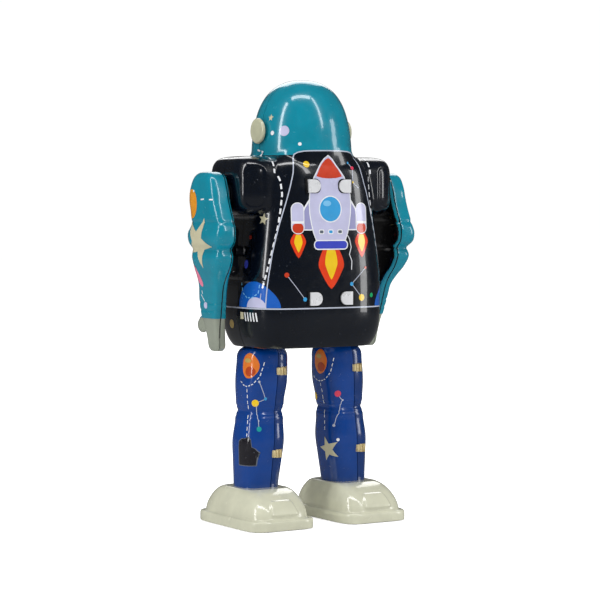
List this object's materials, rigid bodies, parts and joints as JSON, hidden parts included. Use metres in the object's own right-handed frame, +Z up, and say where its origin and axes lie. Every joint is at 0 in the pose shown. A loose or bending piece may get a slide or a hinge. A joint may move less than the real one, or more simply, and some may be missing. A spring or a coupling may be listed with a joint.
{
  "type": "toy robot",
  "caption": "Clockwork walking tin robot: domed head, square shoulders, swinging arms with mitten hands, jointed legs in flanged feet.",
  "frame": {"origin": "middle of the robot's bounding box at the surface it stands on", "axes": "+Z up, the robot faces -Y, its left side is +X"},
  "size_m": [0.1012, 0.0518, 0.19],
  "materials": {
    "body_tin": "glossy navy lacquered tin",
    "arm_tin": "glossy teal lacquered tin",
    "leg_tin": "glossy blue lacquered tin",
    "foot_tin": "glossy ivory lacquered tin",
    "ear_tin": "satin beige lacquered tin",
    "dark_stub": "black",
    "steel": "bright rolled sheet",
    "brass": "stamped"
  },
  "bodies": {
    "root": {"body_back_shell": "body_tin", "body_front_shell": "body_tin", "ear_stub_left": "dark_stub", "ear_stub_right": "dark_stub", "ear_disc_left": "ear_tin", "ear_disc_right": "ear_tin", "shoulder_rivet_left": "steel", "shoulder_rivet_right": "steel", "shoulder_washer_left": "steel", "shoulder_washer_right": "steel", "motor_plate_left": "steel", "motor_plate_right": "steel", "hip_axle": "steel", "pillar_top_front": "steel", "pillar_top_back": "steel", "pillar_bottom_back": "steel", "mainspring": "steel"},
    "left_arm": {"arm_outer_shell_left": "arm_tin", "arm_inner_tray_left": "arm_tin"},
    "right_arm": {"arm_outer_shell_right": "arm_tin", "arm_inner_tray_right": "arm_tin"},
    "left_leg": {"leg_outer_shell_left": "leg_tin", "leg_inner_shell_left": "leg_tin", "hip_lever_left": "steel", "foot_shell_left": "foot_tin", "sole_plate_left": "steel"},
    "right_leg": {"leg_outer_shell_right": "leg_tin", "leg_inner_shell_right": "leg_tin", "hip_lever_right": "steel", "foot_shell_right": "foot_tin", "sole_plate_right": "steel"},
    "drive_wheel": {"great_wheel": "brass"},
    "click_pawl": {"click": "steel"},
    "key_arbor": {"main_arbor": "steel", "ratchet_wheel": "steel", "winding_key": "steel"},
    "second_shaft": {"second_arbor": "steel", "second_wheel": "brass"},
    "crank_shaft": {"crank_arbor": "steel", "crank_disc_left": "brass", "crank_disc_right": "brass"}
  },
  "joints": [
    {"name": "left_arm_swing", "type": "hinge", "parent": "root", "child": "left_arm", "pos_m": [0, -0.0022, 0.141], "axis": [1, 0, 0], "continuous": true},
    {"name": "right_arm_swing", "type": "hinge", "parent": "root", "child": "right_arm", "pos_m": [0, -0.0022, 0.141], "axis": [1, 0, 0], "continuous": true},
    {"name": "left_leg_swing", "type": "hinge", "parent": "root", "child": "left_leg", "pos_m": [0, -0.0022, 0.08], "axis": [1, 0, 0], "range_deg": [-7, 7]},
    {"name": "right_leg_swing", "type": "hinge", "parent": "root", "child": "right_leg", "pos_m": [0, -0.0022, 0.08], "axis": [1, 0, 0], "range_deg": [-7, 7]},
    {"name": "drive_spin", "type": "hinge", "parent": "root", "child": "drive_wheel", "pos_m": [0, 0.0008, 0.117], "axis": [1, 0, 0], "continuous": true},
    {"name": "click_lift", "type": "hinge", "parent": "drive_wheel", "child": "click_pawl", "pos_m": [0, 0.0083, 0.1225], "axis": [1, 0, 0], "range_deg": [-12, 0]},
    {"name": "key_wind", "type": "hinge", "parent": "drive_wheel", "child": "key_arbor", "pos_m": [0, 0.0008, 0.117], "axis": [1, 0, 0], "continuous": true},
    {"name": "second_spin", "type": "hinge", "parent": "root", "child": "second_shaft", "pos_m": [0, 0.00904, 0.101], "axis": [1, 0, 0], "continuous": true},
    {"name": "crank_spin", "type": "hinge", "parent": "root", "child": "crank_shaft", "pos_m": [0, -0.0022, 0.092], "axis": [1, 0, 0], "continuous": true}
  ],
  "couplings": [
    {"joint": "right_leg_swing", "follows": "left_leg_swing", "ratio": -1},
    {"joint": "second_spin", "follows": "drive_spin", "ratio": -4},
    {"joint": "crank_spin", "follows": "drive_spin", "ratio": 12}
  ]
}
